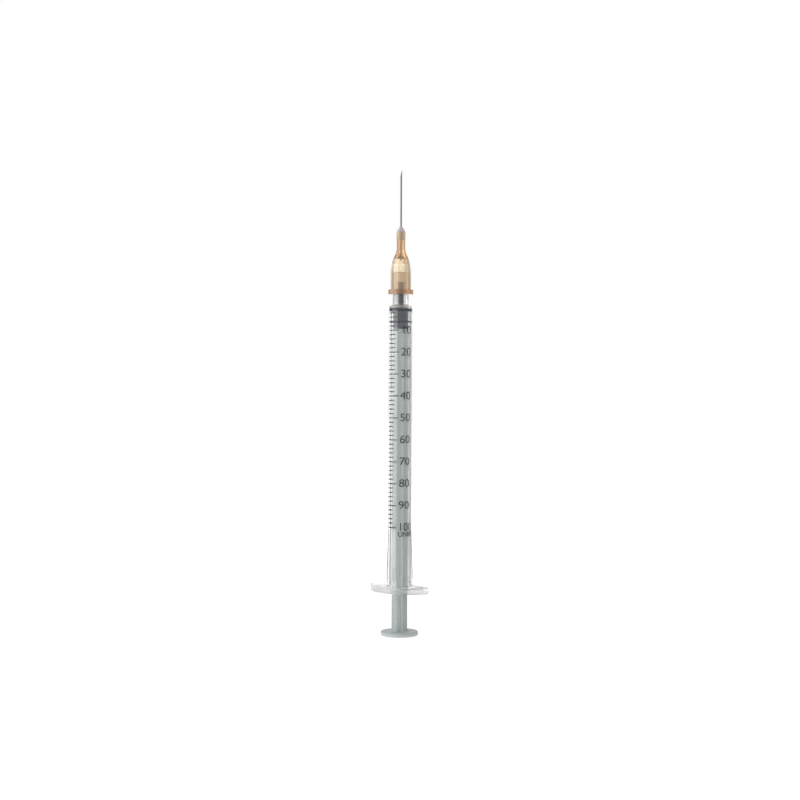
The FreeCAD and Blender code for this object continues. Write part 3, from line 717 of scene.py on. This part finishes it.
def tube_surface(size, height):
    """Outer radius of the tube at a height."""
    flare = size.foot + size.flange_thickness + size.sleeve_height
    part = min(max((flare + size.flare_length - height) / size.flare_length, 0), 1)
    return size.tube_radius + part * (size.flare_radius - size.tube_radius)


class SYRINGE_OT_barrel(Operator):
    """Clear barrel with its finger flange and nozzle"""

    bl_idname = "syringe.barrel"
    bl_label = "Barrel"

    def execute(self, context):
        size = context.scene.syringe_barrel
        lip = lip_angle(size)
        extra = (lip, FULL_TURN - lip, math.pi - lip, math.pi + lip)
        angles = even_angles(size.segments, extra)
        piece = turned("barrel_shell", angles, barrel_section, size, loop=True)
        dress(piece, "barrel", clear_plastic(size))
        piece.visible_shadow = False
        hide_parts("barrel")
        return {"FINISHED"}


# Printed scale


def print_place(context, across, height, lift):
    """Point of the print, at an angle to the right of the view's middle line."""
    scale = context.scene.syringe_scale
    skew = scale.skew * (height - scale.skew_height) / MM
    angle = context.scene.syringe_stage.azimuth + across + skew
    radius = tube_surface(context.scene.syringe_barrel, height) + lift
    return Vector((radius * math.sin(angle), -radius * math.cos(angle), height))


def add_mark(context, work, start, end, height, line):
    """Thin closed strip of ink that follows the tube."""
    film, half = context.scene.syringe_scale.film, line / 2
    corners = ((-half, -film), (-half, film), (half, film), (half, -film))
    steps = max(2, round(math.degrees(end - start) / 3))
    rings = []
    for step in range(steps + 1):
        across = start + (end - start) * step / steps
        places = [print_place(context, across, height + up, lift) for up, lift in corners]
        rings.append([work.verts.new(place) for place in places])
    for ring, following in zip(rings, rings[1:]):
        for index in range(4):
            after = (index + 1) % 4
            work.faces.new((ring[index], ring[after], following[after], following[index]))
    work.faces.new(rings[0])
    work.faces.new(rings[-1])


def add_text(context, work, text, height, middle, width, bold=0.0):
    """Letters of ink on the tube, from their left edge on."""
    scale = context.scene.syringe_scale
    curve = bpy.data.curves.new("print_text", "FONT")
    curve.body = text
    curve.extrude = 0.5
    curve.offset = bold
    curve.resolution_u = 6
    holder = bpy.data.objects.new("print_text", curve)
    context.scene.collection.objects.link(holder)
    context.view_layer.update()
    flat = bpy.data.meshes.new_from_object(holder.evaluated_get(context.evaluated_depsgraph_get()))
    bpy.data.objects.remove(holder)
    bpy.data.curves.remove(curve)
    letters = bmesh.new()
    letters.from_mesh(flat)
    bpy.data.meshes.remove(flat)
    bmesh.ops.remove_doubles(letters, verts=letters.verts, dist=1e-5)
    low = [min(v.co[axis] for v in letters.verts) for axis in (0, 1)]
    high = [max(v.co[axis] for v in letters.verts) for axis in (0, 1)]
    factor = height / (high[1] - low[1])
    cut = 0.1 * MM / factor
    place = low[0] + cut
    while place < high[0]:
        everything = letters.verts[:] + letters.edges[:] + letters.faces[:]
        bmesh.ops.bisect_plane(letters, geom=everything, plane_co=(place, 0, 0), plane_no=(1, 0, 0))
        place += cut
    radius = tube_surface(context.scene.syringe_barrel, middle)
    centre = (low[1] + high[1]) / 2
    for vertex in letters.verts:
        across = scale.numbers_start + vertex.co.x * factor * width / radius
        lift = scale.film if vertex.co.z > 0 else -scale.film
        vertex.co = print_place(context, across, middle + (vertex.co.y - centre) * factor, lift)
    spare = bpy.data.meshes.new("print_letters")
    letters.to_mesh(spare)
    letters.free()
    work.from_mesh(spare)
    bpy.data.meshes.remove(spare)


class SYRINGE_OT_scale(Operator):
    """Marks, numbers and the word that are printed on the barrel"""

    bl_idname = "syringe.scale"
    bl_label = "Printed scale"

    def execute(self, context):
        size = context.scene.syringe_scale
        ink = print_ink(size.colour[:])
        marks, letters = bmesh.new(), bmesh.new()
        for units in range(0, size.units + 1, size.step):
            height = size.zero - size.unit * units
            numbered = units % size.long_step == 0
            end = size.long_end if numbered else size.short_end
            add_mark(context, marks, size.start, end, height, size.line)
            if numbered and units:
                middle = height + size.number_rise + size.number_climb * units / size.units
                width = size.last_width if units == size.units else size.letter_width
                add_text(context, letters, str(units), size.number_height, middle, width)
        place = (size.word_height, size.word_middle, size.word_width, size.word_bold)
        add_text(context, letters, size.word, *place)
        for name, work in (("scale_marks", marks), ("scale_numbers", letters)):
            mesh = bpy.data.meshes.new(name)
            work.to_mesh(mesh)
            work.free()
            dress(as_piece(name, mesh), "barrel", ink)
        return {"FINISHED"}


# Plunger


def stopper_section(size, angle):
    def ridge(top, width, radius):
        return [
            (size.core, top, 0),
            (radius, top, size.ridge_round),
            (radius, top - width, size.ridge_round),
            (size.core, top - width, 0),
        ]

    corners = [
        (0, size.nose_tip, 0),
        (size.nose, size.nose_tip, size.nose_round),
        (size.nose, size.cone_top, 0),
        *ridge(size.front, size.front_width, size.ridge),
        *ridge(size.front - size.middle_drop, size.middle_width, size.ridge),
        *ridge(size.front - size.rear_drop, size.rear_width, size.rear_ridge),
        (size.core, size.rear, 0),
        (size.stem, size.rear, 0),
        (size.stem, size.rear + size.knob_start, 0),
        (size.knob, size.rear + size.knob_start, 0),
        (size.knob_tip, size.rear + size.knob_depth, 0),
        (0, size.rear + size.knob_depth, 0),
    ]
    return rounded_line(corners, loop=False)


class SYRINGE_OT_stopper(Operator):
    """Rubber stopper with its sealing ridges and nose"""

    bl_idname = "syringe.stopper"
    bl_label = "Stopper"

    def execute(self, context):
        size = context.scene.syringe_stopper
        angles = even_angles(context.scene.syringe_barrel.segments // 2)
        piece = turned("stopper_rubber", angles, stopper_section, size, loop=False)
        dress(piece, "plunger", stopper_rubber(size.colour[:]))
        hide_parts("stopper")
        return {"FINISHED"}


class SYRINGE_OT_plunger_rod(Operator):
    """Finish of the plunger rod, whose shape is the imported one"""

    bl_idname = "syringe.plunger_rod"
    bl_label = "Plunger rod"

    def execute(self, context):
        material = rod_plastic(context.scene.syringe_plunger)
        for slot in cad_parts["plunger_rod"].material_slots:
            slot.material = material
        return {"FINISHED"}


# Hub and needle


def hub_section(size, angle):
    """Half section of the hub at an angle from its own first rib."""
    lug = abs((angle + math.pi) % math.pi - math.pi / 2)
    brim = size.brim
    half = size.lug_width / 2
    if lug < math.asin(half / size.lug_reach):
        brim = size.lug_reach
    elif lug < math.asin(half / size.brim):
        brim = half / math.sin(lug)
    spacing = FULL_TURN / size.ribs
    off = abs((angle + spacing / 2) % spacing - spacing / 2)
    on_rib = off < math.asin(size.rib_width / 2 / size.body)
    brim_top = size.foot + size.brim_height
    body_top = brim_top + size.body_height
    ogive_in = size.ogive - size.body
    ogive_top = body_top + math.sqrt(size.ogive**2 - (ogive_in + size.ogive_end) ** 2)
    neck_in = size.neck_curve + size.neck
    neck_top = ogive_top + math.sqrt(size.neck_curve**2 - (neck_in - size.ogive_end) ** 2)
    line = [(size.mouth + size.mouth_chamfer, size.foot), (brim, size.foot), (brim, brim_top)]
    rib_top = brim_top + size.rib_height
    heights = [brim_top, body_top]
    heights += [body_top + (ogive_top - body_top) * step / 24 for step in range(1, 25)]
    for height in heights:
        rise = max(height - body_top, 0)
        radius = math.sqrt(size.ogive**2 - rise**2) - ogive_in
        if on_rib:
            rib = size.body + size.rib_rise
            over = height - (rib_top - size.rib_slope)
            rib -= max(over, 0) / size.rib_slope * size.rib_root
            radius = max(radius, rib)
        line.append((radius, height))
    line += arc((size.ogive_end, ogive_top), (size.neck, neck_top), size.neck_curve, 12, hollow=True)
    collar = size.top - size.collar_height
    line += [(size.neck, neck_top), (size.neck, collar), (size.collar, collar + size.collar_slope)]
    rim = [
        (size.collar, size.top - size.collar_round * 4, 0),
        (size.collar, size.top, size.collar_round),
        (size.well, size.top, 0),
    ]
    line += rounded_line(rim, loop=False, steps=4)
    line += [
        (size.well, size.well_bottom),
        (size.channel, size.well_bottom),
        (size.channel, size.chamber_top + size.chamber_cone),
        (size.chamber, size.chamber_top),
        (size.chamber, size.socket_top),
        (size.socket_end, size.socket_top),
        (size.mouth, size.foot + size.mouth_chamfer),
    ]
    return line


class SYRINGE_OT_needle_hub(Operator):
    """Amber hub with its brim, lugs, grip ribs and socket"""

    bl_idname = "syringe.needle_hub"
    bl_label = "Needle hub"

    def execute(self, context):
        size = context.scene.syringe_hub
        rib = math.asin(size.rib_width / 2 / size.body)
        spans = [(FULL_TURN * index / size.ribs, rib) for index in range(size.ribs)]
        lugs = [math.asin(size.lug_width / 2 / reach) for reach in (size.lug_reach, size.brim)]
        spans += [(middle, lug) for middle in (math.pi / 2, math.pi * 1.5) for lug in lugs]
        extra = [(middle + edge) % FULL_TURN for middle, half in spans for edge in (-half, half)]
        angles = even_angles(size.segments, extra)
        piece = turned("hub_shell", angles, hub_section, size, loop=True, turn=size.turn)
        dress(piece, "barrel", amber_plastic(size))
        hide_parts("needle_hub")
        return {"FINISHED"}


def needle_section(size, angle):
    """Half section of the steel tube at an angle from the middle of its ground slope."""

    def top(radius):
        across, aside = radius * math.cos(angle), abs(radius * math.sin(angle))
        slope = size.point - size.bevel * (across + size.radius) / (2 * size.radius)
        facet = size.point - size.facet * max(0, aside - size.facet_tip) / (size.radius - size.facet_tip)
        return min(slope, facet)

    return [
        (size.bore, size.butt),
        (size.radius, size.butt),
        (size.radius, top(size.radius)),
        (size.bore, top(size.bore)),
    ]


class SYRINGE_OT_needle(Operator):
    """Steel needle with its ground point"""

    bl_idname = "syringe.needle"
    bl_label = "Needle"

    def execute(self, context):
        size = context.scene.syringe_needle
        angles = even_angles(size.segments)
        piece = turned("steel_needle", angles, needle_section, size, loop=True, turn=size.turn)
        dress(piece, "barrel", needle_steel(size.colour[:]))
        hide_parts("needle")
        return {"FINISHED"}


def glue_section(size, angle):
    line = [(size.inner, size.bottom), (size.well, size.bottom), (size.well, size.rim), (size.foot, size.rim)]
    line += arc((size.foot, size.rim), (size.inner, size.top), size.flank, 12)
    line.append((size.inner, size.top))
    return line


class SYRINGE_OT_needle_glue(Operator):
    """Resin that holds the needle in the hub"""

    bl_idname = "syringe.needle_glue"
    bl_label = "Needle glue"

    def execute(self, context):
        size = context.scene.syringe_glue
        angles = even_angles(context.scene.syringe_needle.segments)
        piece = turned("glue_cone", angles, glue_section, size, loop=True)
        dress(piece, "barrel", clear_resin(size.colour[:]))
        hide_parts("needle_glue")
        return {"FINISHED"}


# Stage


def seen_rays(finish):
    """1 for rays from the camera, and for those that metal or clear plastic sends on."""
    kinds = ("Is Camera Ray", "Is Glossy Ray", "Is Transmission Ray")
    path = finish.tree.nodes.new("ShaderNodeLightPath")
    camera, glossy, through = (Value(finish, path.outputs[kind]) for kind in kinds)
    return camera.either(glossy).either(through)


def add_floor(context):
    size = context.scene.syringe_stage
    mesh = bpy.data.meshes.new("floor")
    reach = size.floor_reach
    corners = [(-reach, -reach, 0), (reach, -reach, 0), (reach, reach, 0), (-reach, reach, 0)]
    mesh.from_pydata(corners, [], [(0, 1, 2, 3)])
    floor = bpy.data.objects.new("floor", mesh)
    context.scene.collection.objects.link(floor)
    finish = new_finish("pale_floor")
    away = finish.node("ShaderNodeVectorMath", {"operation": "LENGTH"}, {0: finish.place()}, output=1)
    spread = ((away - size.contact) / size.contact_fade).clamped()
    shade = finish.mixed(spread, (size.contact_grey,) * 3, (1.0, 1.0, 1.0))
    glow = finish.node("ShaderNodeEmission", None, {"Color": shade, "Strength": 1.0})
    pale = finish.node("ShaderNodeBsdfDiffuse", None, {"Color": (0.3, 0.3, 0.3)})
    lit = finish.node("ShaderNodeAddShader", None, {0: glow, 1: pale})
    plain = finish.node("ShaderNodeBsdfDiffuse", None, {"Color": size.floor_colour[:]})
    shown = finish.node("ShaderNodeMixShader", None, {0: seen_rays(finish), 1: plain, 2: lit})
    mesh.materials.append(finish.surface(shown))


def add_room(context):
    size = context.scene.syringe_stage
    world = bpy.data.worlds.new("studio")
    context.scene.world = world
    finish = Finish(world)
    room = finish.node("ShaderNodeBackground", None, {"Color": (1.0, 1.0, 1.0), "Strength": size.room_level})
    white = finish.node("ShaderNodeBackground", None, {"Color": (1.0, 1.0, 1.0), "Strength": 1.0})
    shown = finish.node("ShaderNodeMixShader", None, {0: seen_rays(finish), 1: room, 2: white})
    output = finish.tree.nodes.new("ShaderNodeOutputWorld")
    finish.tree.links.new(shown.socket, output.inputs["Surface"])


def way_from(angle):
    """Level direction at an azimuth."""
    return Vector((math.sin(angle), -math.cos(angle), 0))


def add_softbox(context, name, side, width, height, level):
    size = context.scene.syringe_stage
    data = bpy.data.lights.new(name, "AREA")
    data.shape = "RECTANGLE"
    data.size, data.size_y = width, height
    data.energy = level * math.pi * width * height
    light = bpy.data.objects.new(name, data)
    way = way_from(size.azimuth + side)
    light.location = way * size.light_distance + Vector((0, 0, size.height))
    light.rotation_euler = way.to_track_quat("Z", "Y").to_euler()
    light.visible_camera = False
    context.scene.collection.objects.link(light)
    return light


def add_flags(context):
    """Two dark boards beside the view, which give the clear plastic its dark edges."""
    size = context.scene.syringe_stage
    near, far = 0.02, 0.6
    top, gap = Vector((0, 0, 0.5)), Vector((0, 0, 0.5 * MM))
    for side, near_edge, grey in DARK_BOARDS:
        board = new_finish("dark_board")
        board.surface(board.node("ShaderNodeBsdfDiffuse", None, {"Color": (grey, grey, grey)}))
        mesh = bpy.data.meshes.new("dark_board")
        corners = []
        for angle in (near_edge, BOARDS_FAR_EDGE):
            way = way_from(size.azimuth + math.pi + side * math.radians(angle))
            corners += [way * near + gap, way * far + gap, way * far + gap + top]
        mesh.from_pydata(corners, [], [(0, 1, 4, 3), (1, 2, 5, 4)])
        mesh.materials.append(board.owner)
        flag = bpy.data.objects.new("dark_board", mesh)
        flag.visible_camera = False
        flag.visible_diffuse = False
        context.scene.collection.objects.link(flag)


def add_camera(context):
    size = context.scene.syringe_stage
    data = bpy.data.cameras.new("camera")
    data.lens = size.lens
    data.sensor_width = 36.0
    data.clip_start = 0.01
    data.clip_end = 20.0
    camera = bpy.data.objects.new("camera", data)
    left = way_from(size.azimuth - math.pi / 2)
    camera.location = way_from(size.azimuth) * size.distance + left * size.aside + Vector((0, 0, size.height))
    camera.rotation_euler = (math.pi / 2, size.roll, size.azimuth)
    context.scene.collection.objects.link(camera)
    context.scene.camera = camera


class SYRINGE_OT_stage(Operator):
    """Floor, studio light and camera"""

    bl_idname = "syringe.stage"
    bl_label = "Stage"

    def execute(self, context):
        context.scene.view_settings.view_transform = "Standard"
        add_room(context)
        add_floor(context)
        size = context.scene.syringe_stage
        add_softbox(context, "key_light", size.key_azimuth, size.key_width, size.key_height, size.key_level)
        face = (size.fill_width, size.fill_height)
        fill = add_softbox(context, "fill_light", size.fill_azimuth, *face, size.fill_level)
        fill.visible_glossy = False
        add_flags(context)
        add_camera(context)
        return {"FINISHED"}


# Add-on


class SYRINGE_PT_pieces(Panel):
    """Pieces of the syringe and their settings"""

    bl_idname = "SYRINGE_PT_pieces"
    bl_label = "Syringe"
    bl_space_type = "VIEW_3D"
    bl_region_type = "UI"
    bl_category = "Syringe"

    def draw(self, context):
        for operator, holder, _ in STEPS:
            box = self.layout.box()
            box.operator(operator.bl_idname)
            settings = getattr(context.scene, holder)
            for name in settings.bl_rna.properties.keys():
                if name not in ("rna_type", "name"):
                    box.prop(settings, name)


# Operators in the order that they run, each with the name and the class of its settings
STEPS = [
    (SYRINGE_OT_stage, "syringe_stage", StageSettings),
    (SYRINGE_OT_barrel, "syringe_barrel", BarrelSettings),
    (SYRINGE_OT_scale, "syringe_scale", ScaleSettings),
    (SYRINGE_OT_stopper, "syringe_stopper", StopperSettings),
    (SYRINGE_OT_plunger_rod, "syringe_plunger", PlungerSettings),
    (SYRINGE_OT_needle_hub, "syringe_hub", HubSettings),
    (SYRINGE_OT_needle, "syringe_needle", NeedleSettings),
    (SYRINGE_OT_needle_glue, "syringe_glue", GlueSettings),
]


def register():
    for operator, holder, group in STEPS:
        bpy.utils.register_class(group)
        bpy.utils.register_class(operator)
        setattr(bpy.types.Scene, holder, PointerProperty(type=group))
    bpy.utils.register_class(SYRINGE_PT_pieces)


def unregister():
    bpy.utils.unregister_class(SYRINGE_PT_pieces)
    for operator, holder, group in reversed(STEPS):
        delattr(bpy.types.Scene, holder)
        bpy.utils.unregister_class(operator)
        bpy.utils.unregister_class(group)


def main():
    register()
    for operator, *_ in STEPS:
        family, name = operator.bl_idname.split(".")
        getattr(getattr(bpy.ops, family), name)()


if __name__ == "__main__":
    main()
